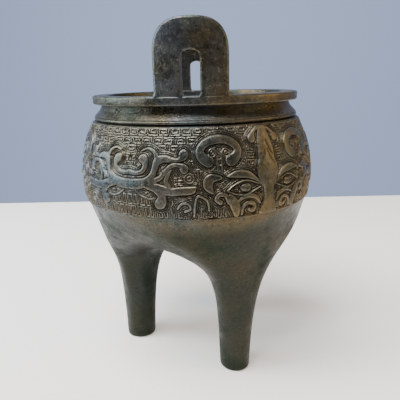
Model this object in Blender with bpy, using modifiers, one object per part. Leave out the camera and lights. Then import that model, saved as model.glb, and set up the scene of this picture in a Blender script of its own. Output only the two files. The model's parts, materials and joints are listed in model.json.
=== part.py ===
"""A bronze ding: a bowl with a carved belt on three lobed legs, and two loop handles on its rim.

The origin is on the ground under the middle of the bowl, +Z is up, and the handles stand at -Y and +Y.
Sizes below are in millimetres and angles in degrees. Shapes are made in metres.
"""

import math

import bmesh
import bpy
from mathutils import Matrix, Vector

MM = 0.001

# Heights, from the ground up
BELT_FOOT = 155.3
BELT_HEIGHT = 67.0
NECK_HEIGHT = 14.0
RIM_THICKNESS = 7.0
BELT_TOP = BELT_FOOT + BELT_HEIGHT
RIM_UNDERSIDE = BELT_TOP + NECK_HEIGHT
RIM_TOP = RIM_UNDERSIDE + RIM_THICKNESS

# Radii of the bowl
RIM_RADIUS = 90.0
BELT_TOP_RADIUS = 90.5
BELLY_RADIUS = 102.8
WALL = 4.5

# The neck stands in from the belt's top and sweeps out to it, and its wall is a little thicker
NECK_IN = 7.8
NECK_WALL = 5.2
NECK_STEPS = 4
NECK_SWEEP = 2.4
NECK_RADIUS = BELT_TOP_RADIUS - NECK_IN
MOUTH_RADIUS = NECK_RADIUS - NECK_WALL

# The belly is widest this far above the belt's foot
BELLY_RISE = 16.7

# Mouldings: the rim's rounded edge, the ridge over the belt, the groove under it, the bead at the belt's foot
RIM_ROUND = 1.5
RIDGE_WIDTH = 2.6
RIDGE_IN = 0.8
GROOVE_DEPTH = 1.3
GROOVE_WIDTH = 1.2
GROOVE_LOW = 0.4
BEAD_WIDTH = 1.7
BEAD_PROUD = 0.9
BEAD_ROUND = 0.3
BEAD_UNDERCUT = 1.2
BEAD_LAP = 0.4

# Lobes and legs. The smooth lobes start a step in from the belt's foot and run down into the legs, and the
# mouth's hollow laps a little into the lobes' own
STEP_IN = 0.6
STEP_DOWN = 2.3
HOLLOW_LAP = 0.5
FOLD_DEPTH = 48.6
FOLD_DROP = 0.78
FOLD_REACH = 0.56
LEGS = 3
LEG_CIRCLE = 62.7
LOBE_CIRCLE = 61.2
LOBE_TURN = 1.5
FOOT_RADIAL = 14.4
FOOT_ACROSS = 12.9
FOOT_ROUND = 2.5

# How the legs swell upwards, as (outward, sideways, inward, outward corner) values round each leg
LEG_TAPER = (0.003, -0.012, 0.003, 0.0)
LEG_STRAIGHT = (0.68, 0.86, 0.90, -0.02)
LOBE_FULL = (0.89, 1.05, 0.64, 0.0)
LOBE_LEAN_OUT = 0.47
LOBE_LEAN_FOLD = 0.12

# The flat of each sole and how far its edge is tucked in, as shares of the foot and of its rounding. The
# hollow starts this many steps up each leg
SOLE_FLAT = 0.45
SOLE_TUCK = 0.2
HOLLOW_STEPS = 4

# Handles: an upright loop bent with the rim, square-shouldered outside and round at the top of its slot.
# Heights are above the rim's top, and both arches spring from one level
HANDLE_SPRING = 25.7
HANDLE_WIDTH = 53.7
HANDLE_HEIGHT = 52.6
HANDLE_SQUARE = 2.75
SLOT_WIDTH = 12.9
SLOT_HEIGHT = 30.2
SLOT_SQUARE = 2.0
HANDLE_THICKNESS = 10.7
HANDLE_ROUND = 1.8
HANDLE_INSET = 0.4
HANDLE_SUNK = 3.5

# Carving. A mask stands over each leg, and one half of it is laid out on a panel of degrees from the nose by
# units up the belt. The figures' sides slope in at the top by a share of their width
MASK_TURN = 2.4
PANEL_WIDE = 180 / LEGS
PANEL_HIGH = 37.5
RELIEF = 2.4
RELIEF_SUNK = 1.2
FIGURE_SLOPE = 0.24
TIP_ANGLE = 60

# How finely round forms are divided
SEGMENTS = 48
BELT_STEPS = 3
ROUND_STEPS = 3
FOLD_STEPS = 3
LEG_ROWS = 4
HANDLE_STEPS = 10
SHARP_ANGLE = 40
MERGE = 0.02 * MM
FIRST_LEG = -60
LEG_AZIMUTHS = [FIRST_LEG + k * 360 / LEGS for k in range(LEGS)]


def arc(centre, radii, start, end, widths, steps):
    """Stroke points (along, up, half width) on an ellipse; 0 is its top and angles grow away from the nose."""
    points = []
    for i in range(steps + 1):
        share = i / steps
        angle = math.radians(start + (end - start) * share)
        place = share * (len(widths) - 1)
        k = min(int(place), len(widths) - 2)
        width = widths[k] + (widths[k + 1] - widths[k]) * (place - k)
        points.append((centre[0] + radii[0] * math.sin(angle), centre[1] + radii[1] * math.cos(angle), width))
    return points


# Each figure: the middle line that it crosses (the nose's or the body's, or None), its height as a share of
# the relief, and its stroke. Figures that overlap differ in height
NOSE, BODY = 0.0, PANEL_WIDE
FIGURES = {
    "nose": (NOSE, 1.25, [(0, 35.5, 2.0), (0, 28, 4.0), (0, 19, 5.2), (0, 12.5, 3.0)]
             + [(0, 7, 2.8), (0, 4.7, 3.8)]),
    "crest": (NOSE, 1.1, [(6.2, 31.8, 1.9), (4.6, 34.6, 0.9), (1.6, 35.8, 0.8)]),
    "horn": (None, 1.4, arc((21.5, 27.9), (8.0, 4.6), -144, 144, (2.3, 1.7, 1.7, 1.7, 1.7, 2.3), 8)),
    "brow": (None, 1.2, [(18.5, 18.0, 0.6), (14.0, 18.6, 1.6), (9.0, 17.7, 1.5), (4.2, 14.2, 0.5)]),
    "eye": (None, 1.3, [(12.6, 13.0, 1.8), (9.6, 13.0, 1.8)]),
    "ear": (None, 1.05, [(21.8, 17.6, 0.9), (25.8, 17.0, 1.8), (26.4, 14.2, 1.7), (24.9, 11.6, 0.6)]),
    "jaw": (None, 1.02, [(17.2, 9.9, 1.0), (16.0, 6.4, 2.0), (15.0, 2.6, 1.4)]),
    "cheek": (None, 0.9, arc((9.2, 4.6), (5.0, 4.6), 60, -80, (0.6, 1.0, 0.6), 3)),
    "body": (BODY, 1.15, arc((60, 26), (12.3, 11.1), 180, 262, (2.2, 2.0, 1.4, 1.4), 4)
             + [(44.6, 25.4, 1.4), (39.0, 25.0, 1.0), (36.2, 26.7, 2.0)]),
    "claw_high": (None, 0.95, [(49.4, 17.0, 1.0), (45.0, 18.9, 1.0), (40.6, 22.7, 0.9), (36.2, 21.6, 1.7)]),
    "claw_low": (None, 1.0, [(50.4, 14.6, 1.4), (44.6, 13.0, 1.8), (33.6, 13.1, 1.6)]),
    "haunch": (None, 0.87, [(46.6, 12.0, 1.3), (45.2, 9.8, 1.8), (45.8, 7.4, 2.2)]),
    "curl": (BODY, 1.03, arc((57.4, 24.2), (4.8, 4.8), 150, 285, (0.9, 1.0, 1.8), 4)),
}


def belly(z):
    """The belt's radius at a height: a parabola through its widest level and its top edge."""
    widest = BELT_FOOT + BELLY_RISE
    reach = BELT_TOP - widest
    return BELLY_RADIUS - (BELLY_RADIUS - BELT_TOP_RADIUS) * ((z - widest) / reach) ** 2


def heights(top, bottom, count):
    """Evenly spaced heights from top to bottom."""
    return [top + (bottom - top) * i / count for i in range(count + 1)]


def mesh_object(name, vertices, faces, collection):
    """An object from vertices in millimetres, shaded smooth except at sharp edges."""
    mesh = bpy.data.meshes.new(name)
    mesh.from_pydata([Vector(v) * MM for v in vertices], [], faces)
    finish(mesh)
    made = bpy.data.objects.new(name, mesh)
    collection.objects.link(made)
    return made


def finish(mesh):
    """Faces pointing outwards, and smooth shading."""
    work = bmesh.new()
    work.from_mesh(mesh)
    bmesh.ops.recalc_face_normals(work, faces=work.faces)
    work.to_mesh(mesh)
    work.free()
    mesh.shade_smooth()
    mesh.set_sharp_from_angle(angle=math.radians(SHARP_ANGLE))


def turned(name, profile, collection):
    """A solid turned from a profile of (radius, height) points that runs down its outer side."""
    mesh = bpy.data.meshes.new(name)
    edges = [(i, i + 1) for i in range(len(profile) - 1)]
    mesh.from_pydata([(radius * MM, 0, height * MM) for radius, height in profile], edges, [])
    made = bpy.data.objects.new(name, mesh)
    collection.objects.link(made)
    screw = made.modifiers.new("turn", "SCREW")
    screw.axis = "Z"
    screw.steps = SEGMENTS
    screw.render_steps = SEGMENTS
    screw.use_merge_vertices = True
    screw.merge_threshold = MERGE
    screw.use_smooth_shade = True
    return made


def bowl_profile():
    """The outside of the rim, neck and belt, top to bottom, closed to the axis at both ends."""
    profile = [(0, RIM_TOP), (RIM_RADIUS - RIM_ROUND, RIM_TOP), (RIM_RADIUS, RIM_TOP - RIM_ROUND)]
    profile += [(RIM_RADIUS, RIM_UNDERSIDE + RIM_ROUND), (RIM_RADIUS - RIM_ROUND, RIM_UNDERSIDE)]
    ridge = BELT_TOP_RADIUS - RIDGE_IN
    ridge_top = BELT_TOP + RIDGE_WIDTH
    groove = BELT_TOP - GROOVE_LOW
    for i, z in enumerate(heights(RIM_UNDERSIDE, ridge_top + RIDGE_IN, NECK_STEPS)):
        profile.append((NECK_RADIUS + (ridge - NECK_RADIUS) * (i / NECK_STEPS) ** NECK_SWEEP, z))
    profile += [(ridge, ridge_top), (ridge, groove + GROOVE_WIDTH)]
    profile += [(ridge - GROOVE_DEPTH, groove + GROOVE_WIDTH / 2)]
    profile += [(belly(z), z) for z in heights(groove, BELT_FOOT + BEAD_WIDTH, BELT_STEPS)]
    bead = belly(BELT_FOOT) + BEAD_PROUD
    profile += [(bead, BELT_FOOT + BEAD_WIDTH - BEAD_ROUND), (bead, BELT_FOOT + BEAD_ROUND)]
    profile += [(bead - BEAD_UNDERCUT, BELT_FOOT - BEAD_LAP), (0, BELT_FOOT - BEAD_LAP)]
    return profile


def hollow_profile():
    """The inside of the mouth and belly, from above the rim down into the lobes."""
    shoulder = BELT_TOP - 2 * WALL
    profile = [(0, RIM_TOP + WALL), (MOUTH_RADIUS, RIM_TOP + WALL), (MOUTH_RADIUS, BELT_TOP + WALL)]
    profile += [(belly(z) - WALL, z) for z in heights(shoulder, BELT_FOOT, BELT_STEPS)]
    profile += [(lobe_top_radius() - WALL - HOLLOW_LAP, lobe_top() - STEP_DOWN)]
    profile += [(0, lobe_top() - STEP_DOWN)]
    return profile


def lobe_top():
    """The height at which the smooth lobes start."""
    return BELT_FOOT - STEP_DOWN


def lobe_top_radius():
    """The radius of the round section at which the lobes start."""
    return belly(BELT_FOOT) - STEP_IN


def around(values, angle):
    """A value that changes round a leg: outward at 0, sideways at 90, inward at 180, and at the corner."""
    out, side, inward, corner = values
    cosine = math.cos(angle)
    mixed = side * math.sin(angle) ** 2 + (out if cosine > 0 else inward) * cosine ** 2
    return mixed + (corner * math.sin(2 * angle) ** 2 if cosine > 0 else 0)


def bezier(a, b, c, d, t):
    """A point on a cubic curve."""
    return (1 - t) ** 3 * a + 3 * (1 - t) ** 2 * t * b + 3 * (1 - t) * t * t * c + t ** 3 * d


def lobe_edge():
    """Half the edge of one lobe's third of the bowl, as (point, two directions that the surface runs in).

    It goes along the round section where the lobes start, then down the fold between two lobes to the axis."""
    radius = lobe_top_radius() / subdivided_share(2 * LEGS * ROUND_STEPS)
    top = lobe_top()
    bottom = BELT_FOOT - FOLD_DEPTH
    edge = []
    for i in range(ROUND_STEPS + 1):
        azimuth = math.radians(180 / LEGS * i / ROUND_STEPS)
        share = (1 - math.cos(LEGS * azimuth)) / 2
        lean = LOBE_LEAN_OUT + (LOBE_LEAN_FOLD - LOBE_LEAN_OUT) * share
        outward = Vector((math.cos(azimuth), math.sin(azimuth), 0))
        along = Vector((-outward.y, outward.x, 0))
        edge.append((outward * radius + Vector((0, 0, top)), along, outward * lean + Vector((0, 0, 1))))
    fold = math.radians(180 / LEGS)
    outward = Vector((math.cos(fold), math.sin(fold), 0))
    across = Vector((-outward.y, outward.x, 0))
    up = Vector((0, 0, 1))
    start = outward * radius + up * top
    end = up * bottom
    drop = (outward * LOBE_LEAN_FOLD + up).normalized() * FOLD_DROP * (top - bottom)
    curve = (start, start - drop, end + outward * FOLD_REACH * radius, end)
    near = 0.001
    for i in range(1, FOLD_STEPS + 1):
        t = i / FOLD_STEPS
        way = bezier(*curve, t - near) - bezier(*curve, min(t + near, 1))
        edge.append((bezier(*curve, t), across, way))
    return edge


def subdivided_share(count):
    """How much a ring of so many corners draws in when its cage is subdivided."""
    return (2 + math.cos(2 * math.pi / count)) / 3


def lobe_rings():
    """One lobe and leg as rings of cage points round the leg, from the ground up to the lobe's edge."""
    half = lobe_edge()
    steps = len(half) - 1
    edge = [(math.pi * k / steps, *item) for k, item in enumerate(half)]
    for angle, point, first, second in edge[-2:0:-1]:
        edge.append((-angle, *(Vector((v.x, -v.y, v.z)) for v in (point, first, second))))
    foot = LEG_CIRCLE * Vector((math.cos(math.radians(-LOBE_TURN)), math.sin(math.radians(-LOBE_TURN)), 0))
    lobe = Vector((LOBE_CIRCLE, 0, 0))
    up = Vector((0, 0, 1))
    share = subdivided_share(len(edge))
    rings = [[] for _ in range(LEG_ROWS + 4)]
    for angle, end, first, second in edge:
        out = Vector((math.cos(angle), math.sin(angle), 0))
        radius = FOOT_RADIAL * FOOT_ACROSS / math.hypot(FOOT_ACROSS * out.x, FOOT_RADIAL * out.y) / share
        straight = around(LEG_STRAIGHT, angle) * end.z
        swell = around(LEG_TAPER, angle) * straight
        start = foot + out * radius + up * 2 * FOOT_ROUND
        lean = (lobe - foot) * straight / end.z
        knee = foot + lean + out * (radius + swell) + up * straight
        normal = first.cross(second).normalized()
        way = end - knee
        full = around(LOBE_FULL, angle) * way.length
        way = (way - normal * way.dot(normal)).normalized()
        rings[0].append(foot + out * radius * SOLE_FLAT)
        rings[1].append(foot + out * (radius - SOLE_TUCK * FOOT_ROUND))
        rings[2].append(foot + out * radius + up * FOOT_ROUND)
        for row in range(LEG_ROWS + 1):
            rings[row + 3].append(bezier(start, knee, end - way * full, end, row / LEG_ROWS))
    return rings


def lobes(name, collection, inset, first_row):
    """All the lobes with their legs as a cage of rings, smoothed by subdivision and capped inside the bowl.

    With an inset it is the hollow: the same form drawn in by the wall, from the given row of rings up."""
    rings = lobe_rings()[first_row:]
    work = bmesh.new()
    count = len(rings[0])
    floors = []
    for azimuth in LEG_AZIMUTHS:
        turn = Matrix.Rotation(math.radians(azimuth + LOBE_TURN), 3, "Z")
        grid = [[work.verts.new(turn @ point * MM) for point in ring] for ring in rings]
        floors.append(grid[0])
        for low, high in zip(grid, grid[1:]):
            for i in range(count):
                j = (i + 1) % count
                work.faces.new((low[i], low[j], high[j], high[i]))
    bmesh.ops.remove_doubles(work, verts=work.verts, dist=MERGE)
    work.normal_update()
    for vertex in work.verts:
        vertex.co -= vertex.normal * inset * MM
    for ring in floors:
        work.faces.new(list(reversed(ring)))
    for lift in (STEP_DOWN, BEAD_WIDTH):
        rim = [edge for edge in work.edges if edge.is_boundary]
        lifted = bmesh.ops.extrude_edge_only(work, edges=rim)["geom"]
        for item in lifted:
            if isinstance(item, bmesh.types.BMVert):
                item.co.z += lift * MM
    bmesh.ops.contextual_create(work, geom=[edge for edge in work.edges if edge.is_boundary])
    mesh = bpy.data.meshes.new(name)
    work.to_mesh(mesh)
    work.free()
    finish(mesh)
    made = bpy.data.objects.new(name, mesh)
    collection.objects.link(made)
    smooth = made.modifiers.new("smooth form", "SUBSURF")
    smooth.levels = 1
    smooth.render_levels = 1
    return made


def loop_edge(width, height, square):
    """One edge of a handle in its own plane: up one side, over an arch and down the other."""
    low = RIM_TOP - HANDLE_SUNK
    level = RIM_TOP + HANDLE_SPRING
    half = width / 2
    edge = [(-half, low), (-half, (low + level) / 2)]
    for i in range(HANDLE_STEPS + 1):
        angle = math.pi * (1 - i / HANDLE_STEPS)
        across = math.copysign(abs(math.cos(angle)) ** (2 / square), math.cos(angle))
        above = abs(math.sin(angle)) ** (2 / square)
        edge.append((half * across, level + (height - HANDLE_SPRING) * above))
    return edge + [(half, (low + level) / 2), (half, low)]


def handle(name, side, collection):
    """A loop handle: a rounded bar between the outer edge and the slot's, bent with the rim."""
    outer = loop_edge(HANDLE_WIDTH, HANDLE_HEIGHT, HANDLE_SQUARE)
    inner = loop_edge(SLOT_WIDTH, SLOT_HEIGHT, SLOT_SQUARE)
    deep = HANDLE_THICKNESS / 2
    corner = HANDLE_ROUND
    face = [(-1, 0, corner), (-1, corner, 0), (0, 0, 0), (1, corner, 0), (1, 0, corner)]
    bar = [(edge, inset, low - deep) for edge, inset, low in face]
    bar += [(edge, inset, deep - low) for edge, inset, low in reversed(face)]
    front = RIM_RADIUS - HANDLE_INSET
    vertices = []
    for near, far in zip(inner, outer):
        near, far = Vector(near), Vector(far)
        across = (far - near).normalized()
        half = (far - near).length / 2
        for edge, inset, thick in bar:
            x, z = (near + far) / 2 + across * edge * (half - inset)
            radius = front - deep - thick
            vertices.append((x, -side * math.sqrt(radius ** 2 - x ** 2), z))
    count = len(bar)
    faces = [list(range(count)), list(range(len(vertices) - count, len(vertices)))]
    for k in range(len(outer) - 1):
        for i in range(count):
            j = (i + 1) % count
            faces.append((k * count + i, k * count + j, (k + 1) * count + j, (k + 1) * count + i))
    return mesh_object(name, vertices, faces, collection)


def stroke_stations(points):
    """Stations (place, half width, direction) of a stroke, with a rounded tip at each end."""
    stations = []
    for i, (along, up, width) in enumerate(points):
        ahead = points[min(i + 1, len(points) - 1)]
        behind = points[max(i - 1, 0)]
        way = Vector((ahead[0] - behind[0], ahead[1] - behind[1])).normalized()
        stations.append((Vector((along, up)), width, way))
    tip = math.radians(TIP_ANGLE)
    for end, sign in ((0, -1), (-1, 1)):
        place, width, way = stations[end]
        rounded = (place + way * sign * width * math.sin(tip), width * math.cos(tip), way)
        stations = [rounded] + stations if sign < 0 else stations + [rounded]
    return stations


def on_belt(along, up, proud):
    """A point of the carving panel wrapped on the belt with the nose at +X, raised by so many millimetres."""
    height = BELT_FOOT + up * BELT_HEIGHT / PANEL_HIGH
    angle = math.radians(along)
    radius = belly(height) + proud
    return radius * math.cos(angle), radius * math.sin(angle), height


def figure(name, points, share, side, collection):
    """One raised stroke as a closed bar with sloping sides, its base sunk into the belt."""
    sunk, raised = -share * RELIEF_SUNK, share * RELIEF
    top = 1 - FIGURE_SLOPE
    section = ((-1, sunk), (-top, raised), (top, raised), (1, sunk))
    vertices = []
    stations = stroke_stations(points)
    for place, width, way in stations:
        for offset, proud in section:
            along = place.x - way.y * width * offset
            up = place.y + way.x * width * offset
            vertices.append(on_belt(side * along, up, proud))
    count = len(section)
    faces = [list(range(count)), list(range(len(vertices) - count, len(vertices)))]
    for k in range(len(stations) - 1):
        for i in range(count):
            j = (i + 1) % count
            faces.append((k * count + i, k * count + j, (k + 1) * count + j, (k + 1) * count + i))
    return mesh_object(name, vertices, faces, collection)


def whole_stroke(points, middle):
    """A stroke carried on over its middle line as its own mirror image."""
    other = [(2 * middle - along, up, width) for along, up, width in points]
    first, last = (abs(points[k][0] - middle) for k in (0, -1))
    if first == last == 0:
        return points
    if first < last:
        return other[::-1] + points[1 if first == 0 else 0:]
    return points + other[::-1]


def mask(collection):
    """The raised figures of one mask, from the middle of one body to the middle of the next, as one solid."""
    bars = []
    for name, (middle, share, points) in FIGURES.items():
        stroke = points if middle is None else whole_stroke(points, middle)
        for side in ((1, -1) if middle is None else (1,)):
            bars.append(figure(f"bar_{name}_{side}", stroke, share, side, collection))
    first = bars[0]
    for other in bars[1:]:
        combine(first, other, "UNION")
    bpy.context.view_layer.update()
    joined = bpy.data.meshes.new_from_object(first.evaluated_get(bpy.context.evaluated_depsgraph_get()))
    for bar in bars:
        bpy.data.objects.remove(bar)
    return joined


def bronze():
    """Dark cast bronze with a brown-green patina."""
    made = bpy.data.materials.new("patinated_bronze")
    made.use_nodes = True
    shader = made.node_tree.nodes["Principled BSDF"]
    shader.inputs["Base Color"].default_value = (0.085, 0.080, 0.062, 1)
    shader.inputs["Metallic"].default_value = 0.55
    shader.inputs["Roughness"].default_value = 0.45
    return made


def combine(target, other, operation):
    """Unite another solid with the target, or cut it away, by the exact solver."""
    step = target.modifiers.new(operation.lower() + "_" + other.name, "BOOLEAN")
    step.object = other
    step.operation = operation
    step.solver = "EXACT"
    other.display_type = "WIRE"
    other.hide_render = True


def build():
    """The vessel: turned bowl and lobes with legs united and hollowed, then handles and carving added."""
    for old in list(bpy.data.objects):
        bpy.data.objects.remove(old)
    parts = bpy.data.collections.new("bronze_ding_vessel")
    cutters = bpy.data.collections.new("cutters")
    for collection in (parts, cutters):
        bpy.context.scene.collection.children.link(collection)

    vessel = turned("ding_vessel", bowl_profile(), parts)
    vessel.data.materials.append(bronze())
    outer = lobes("lobes_and_legs", cutters, 0, 0)
    combine(vessel, outer, "UNION")
    combine(vessel, turned("mouth_hollow", hollow_profile(), cutters), "DIFFERENCE")
    pockets = lobes("lobe_hollow", cutters, WALL, HOLLOW_STEPS)
    combine(vessel, pockets, "DIFFERENCE")
    for side, name in ((1, "front"), (-1, "back")):
        combine(vessel, handle("handle_" + name, side, cutters), "UNION")
    carved = mask(cutters)
    for k, azimuth in enumerate(LEG_AZIMUTHS):
        raised = bpy.data.objects.new(f"mask_{k}", carved)
        raised.rotation_euler.z = math.radians(azimuth + MASK_TURN)
        cutters.objects.link(raised)
        combine(vessel, raised, "UNION")


build()
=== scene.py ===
# %% [markdown]
# # A bronze ding, dressed over its CAD solid
# The vessel is one bronze casting: a lobed bowl on three round legs, a carved belt, a flat rim and two loop
# handles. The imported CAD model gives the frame, and every piece below is laid over its one solid. The pieces
# repeat the solid's named sizes, so that they meet it and each other without any fitting.

# %% Load the frame
import json
import math

import bpy
import numpy as np
from mathutils import Matrix, Vector

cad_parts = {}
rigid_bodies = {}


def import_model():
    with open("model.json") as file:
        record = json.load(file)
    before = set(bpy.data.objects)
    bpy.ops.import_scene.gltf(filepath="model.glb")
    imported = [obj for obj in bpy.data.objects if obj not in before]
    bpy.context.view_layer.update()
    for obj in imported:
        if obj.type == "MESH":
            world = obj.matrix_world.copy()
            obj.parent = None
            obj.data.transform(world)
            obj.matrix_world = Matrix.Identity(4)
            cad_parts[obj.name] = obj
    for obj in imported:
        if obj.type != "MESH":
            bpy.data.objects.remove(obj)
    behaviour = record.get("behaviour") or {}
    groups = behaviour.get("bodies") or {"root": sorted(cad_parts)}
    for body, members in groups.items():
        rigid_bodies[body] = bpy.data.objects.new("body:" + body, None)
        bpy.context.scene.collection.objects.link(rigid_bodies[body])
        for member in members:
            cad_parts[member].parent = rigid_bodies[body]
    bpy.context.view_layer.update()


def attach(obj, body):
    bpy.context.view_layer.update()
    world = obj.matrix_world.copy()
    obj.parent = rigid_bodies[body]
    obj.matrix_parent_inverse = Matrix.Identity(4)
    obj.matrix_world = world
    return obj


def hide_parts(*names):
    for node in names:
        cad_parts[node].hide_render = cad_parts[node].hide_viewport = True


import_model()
MM = 0.001

# %% [markdown]
# ## The camera
# The photograph was taken from about 40 cm, a little above the rim. The camera was worked out from the
# ellipses of the rim and belt, the feet and the handles, as a place, a few angles and a focal length in
# pixels. Building its matrix from those plain facts keeps it easy to check.

# %% Camera at the photograph's angle
CAMERA_DISTANCE = 395.25
CAMERA_HEIGHT = 253.9
CAMERA_SIDE = math.radians(1.6)
CAMERA_PITCH = math.radians(15.75)
CAMERA_YAW = math.radians(-0.3)
CAMERA_ROLL = math.radians(-1.52)
FOCAL_PIXELS = 425.5
IMAGE_PIXELS = 400

ahead = Vector((0, math.cos(CAMERA_PITCH), -math.sin(CAMERA_PITCH)))
right = Vector((1, 0, 0))
yaw = Matrix.Rotation(CAMERA_YAW, 3, "Z")
ahead, right = yaw @ ahead, yaw @ right
up = right.cross(ahead)
level_right = right * math.cos(CAMERA_ROLL) + up * math.sin(CAMERA_ROLL)
level_up = up * math.cos(CAMERA_ROLL) - right * math.sin(CAMERA_ROLL)
look = Matrix((level_right, level_up, -ahead)).transposed()
swing = Matrix.Rotation(CAMERA_SIDE, 3, "Z")
place = swing @ Vector((0, -CAMERA_DISTANCE, CAMERA_HEIGHT)) * MM

lens = bpy.data.cameras.new("camera")
lens.sensor_width = 36
lens.lens = FOCAL_PIXELS / IMAGE_PIXELS * lens.sensor_width
lens.clip_start = 0.01
camera = bpy.data.objects.new("camera", lens)
bpy.context.scene.collection.objects.link(camera)
camera.matrix_world = Matrix.Translation(place) @ (swing @ look).to_4x4()
bpy.context.scene.camera = camera
print("camera at", tuple(round(v, 4) for v in place), "lens", round(lens.lens, 2))

# %% [markdown]
# ## The vessel's sizes
# These are the CAD solid's own sizes in millimetres: heights from the ground, radii from the upright axis.
# The belt swells in a parabola between its widest level and its top edge, so one small function gives its
# radius, and every piece that meets the belt asks that function.

# %% Sizes of the bowl
BELT_FOOT = 155.3
BELT_HEIGHT = 67.0
BELT_TOP = BELT_FOOT + BELT_HEIGHT
NECK_HEIGHT = 14.0
RIM_THICKNESS = 7.0
RIM_UNDERSIDE = BELT_TOP + NECK_HEIGHT
RIM_TOP = RIM_UNDERSIDE + RIM_THICKNESS
RIM_RADIUS = 90.0
BELT_TOP_RADIUS = 90.5
BELLY_RADIUS = 102.8
NECK_IN = 7.8
NECK_WALL = 5.2
NECK_RADIUS = BELT_TOP_RADIUS - NECK_IN
MOUTH_RADIUS = NECK_RADIUS - NECK_WALL
BELLY_RISE = 16.7
WALL = 4.5
STEP_DOWN = 2.3
STEP_IN = 0.6
LOBE_TOP = BELT_FOOT - STEP_DOWN
LEG_AZIMUTHS = (-60, 60, 180)


def belly(z):
    """The belt's radius at a height; works on numbers and arrays."""
    widest = BELT_FOOT + BELLY_RISE
    return BELLY_RADIUS - (BELLY_RADIUS - BELT_TOP_RADIUS) * ((z - widest) / (BELT_TOP - widest)) ** 2


LOBE_TOP_RADIUS = belly(BELT_FOOT) - STEP_IN
print("belt radius at its foot", round(belly(BELT_FOOT), 2), "and top", BELT_TOP_RADIUS)

# %% [markdown]
# ## Small helpers for modelling
# An operator acts on everything selected, and loading leaves the CAD node selected, so each piece starts
# with nothing selected. Positions are read and written as arrays in millimetres, which keeps the shaping
# code short.

# %% Helpers
SMOOTH_BELOW = math.radians(50)


def start_clean():
    """Object mode with nothing selected."""
    if bpy.context.object and bpy.context.object.mode != "OBJECT":
        bpy.ops.object.mode_set(mode="OBJECT")
    bpy.ops.object.select_all(action="DESELECT")


def points_of(piece):
    """The piece's points in millimetres, as an array."""
    flat = np.empty(len(piece.data.vertices) * 3)
    piece.data.vertices.foreach_get("co", flat)
    return flat.reshape(-1, 3) / MM


def place_points(piece, points):
    """Move every point of the piece to its place in the array, in millimetres."""
    piece.data.vertices.foreach_set("co", (np.asarray(points) * MM).ravel())
    piece.data.update()


def choose(piece, test):
    """In edit mode, select the points that pass the test, and only those."""
    bpy.ops.object.mode_set(mode="OBJECT")
    keep = test(points_of(piece))
    bpy.ops.object.mode_set(mode="EDIT")
    bpy.ops.mesh.select_all(action="DESELECT")
    bpy.ops.object.mode_set(mode="OBJECT")
    piece.data.vertices.foreach_set("select", keep)
    bpy.ops.object.mode_set(mode="EDIT")
    bpy.ops.mesh.select_mode(type="VERT")


def finish_piece(piece, name):
    """Name a finished piece, shade it, attach it to the root body, and hide the CAD solid."""
    start_clean()
    piece.name = name
    piece.data.name = name
    piece.select_set(True)
    bpy.context.view_layer.objects.active = piece
    bpy.ops.object.shade_smooth_by_angle(angle=SMOOTH_BELOW)
    piece.select_set(False)
    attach(piece, "root")
    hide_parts("ding_vessel")
    triangles = sum(len(face.vertices) - 2 for face in piece.data.polygons)
    print(name, triangles, "triangles")


# %% [markdown]
# ## Rim, neck and inside of the mouth
# On the real vessel these were shaped on the mould by a turned template, so they are bodies of rotation. One
# point is extruded from corner to corner of the section, once round the wall, and the line is spun round the
# upright axis. The rounded edges are short arcs in that line, because a bevel would round the mouldings too.

# %% Section of the upper wall
def rounded(corner, radius, start, end, steps=4):
    """Points of a quarter round about a centre, angles in degrees from outward (0) to upward (90)."""
    turns = [math.radians(start + (end - start) * i / steps) for i in range(steps + 1)]
    return [(corner[0] + radius * math.cos(a), corner[1] + radius * math.sin(a)) for a in turns]


def steps_from(radius, height, *steps):
    """Section points given as small steps outward and up from one corner."""
    return [(radius + out, height + up) for out, up in steps]


RIM_ROUND = 1.5
LIP_ROUND = 0.9
NECK_SWEEP = 1.75
NECK_FOOT = BELT_TOP + 4.2
RIDGE = BELT_TOP_RADIUS - 0.8
RIDGE_LIP = 0.5
BEAD = belly(BELT_FOOT) + 0.9
SUNK = 2.4
BELT_ROWS = 14
upper_wall = rounded((MOUTH_RADIUS + LIP_ROUND, RIM_TOP - LIP_ROUND), LIP_ROUND, 180, 90)
upper_wall += rounded((RIM_RADIUS - RIM_ROUND, RIM_TOP - RIM_ROUND), RIM_ROUND, 90, 0)
upper_wall += rounded((RIM_RADIUS - RIM_ROUND, RIM_UNDERSIDE + RIM_ROUND), RIM_ROUND, 0, -90)
upper_wall += steps_from(NECK_RADIUS, RIM_UNDERSIDE, (2.4, 0), (0.7, -0.2))
for share in np.linspace(0.08, 1, 12):
    radius = NECK_RADIUS + (RIDGE - RIDGE_LIP - NECK_RADIUS) * share ** NECK_SWEEP
    upper_wall.append((radius, RIM_UNDERSIDE + (NECK_FOOT - RIM_UNDERSIDE) * share))
upper_wall += steps_from(RIDGE, BELT_TOP, (-0.7, 3.8), (-0.75, 3.45), (-0.15, 3.1), (0.1, 2.6), (0.1, 1.8),
                         (-0.3, 1.2), (-1.6, 0.8), (-2.0, -0.1))
upper_wall += [(belly(z) - SUNK, z) for z in np.linspace(BELT_TOP - 1.2, BELT_FOOT + 2.0, BELT_ROWS)]
upper_wall += steps_from(BEAD, BELT_FOOT, (-0.9, 1.8), (-0.3, 1.6), (0, 1.0), (-0.2, 0.3), (-1.0, -0.3))
upper_wall += steps_from(LOBE_TOP_RADIUS, BELT_FOOT, (-0.6, -0.4), (-WALL, -STEP_DOWN))
upper_wall += [(belly(z) - WALL, z) for z in np.linspace(BELT_FOOT, BELT_TOP - 2 * WALL, BELT_ROWS)]
upper_wall += steps_from(MOUTH_RADIUS, BELT_TOP, (7.5, -2.6), (2.9, 1.8), (0.5, 5.6), (0, 8.5))
upper_wall.append((MOUTH_RADIUS, RIM_TOP - LIP_ROUND))
print("section of", len(upper_wall), "points")

# %% Turn the upper wall
TURN_STEPS = 288
SEAM_MERGE = 0.005


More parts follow.
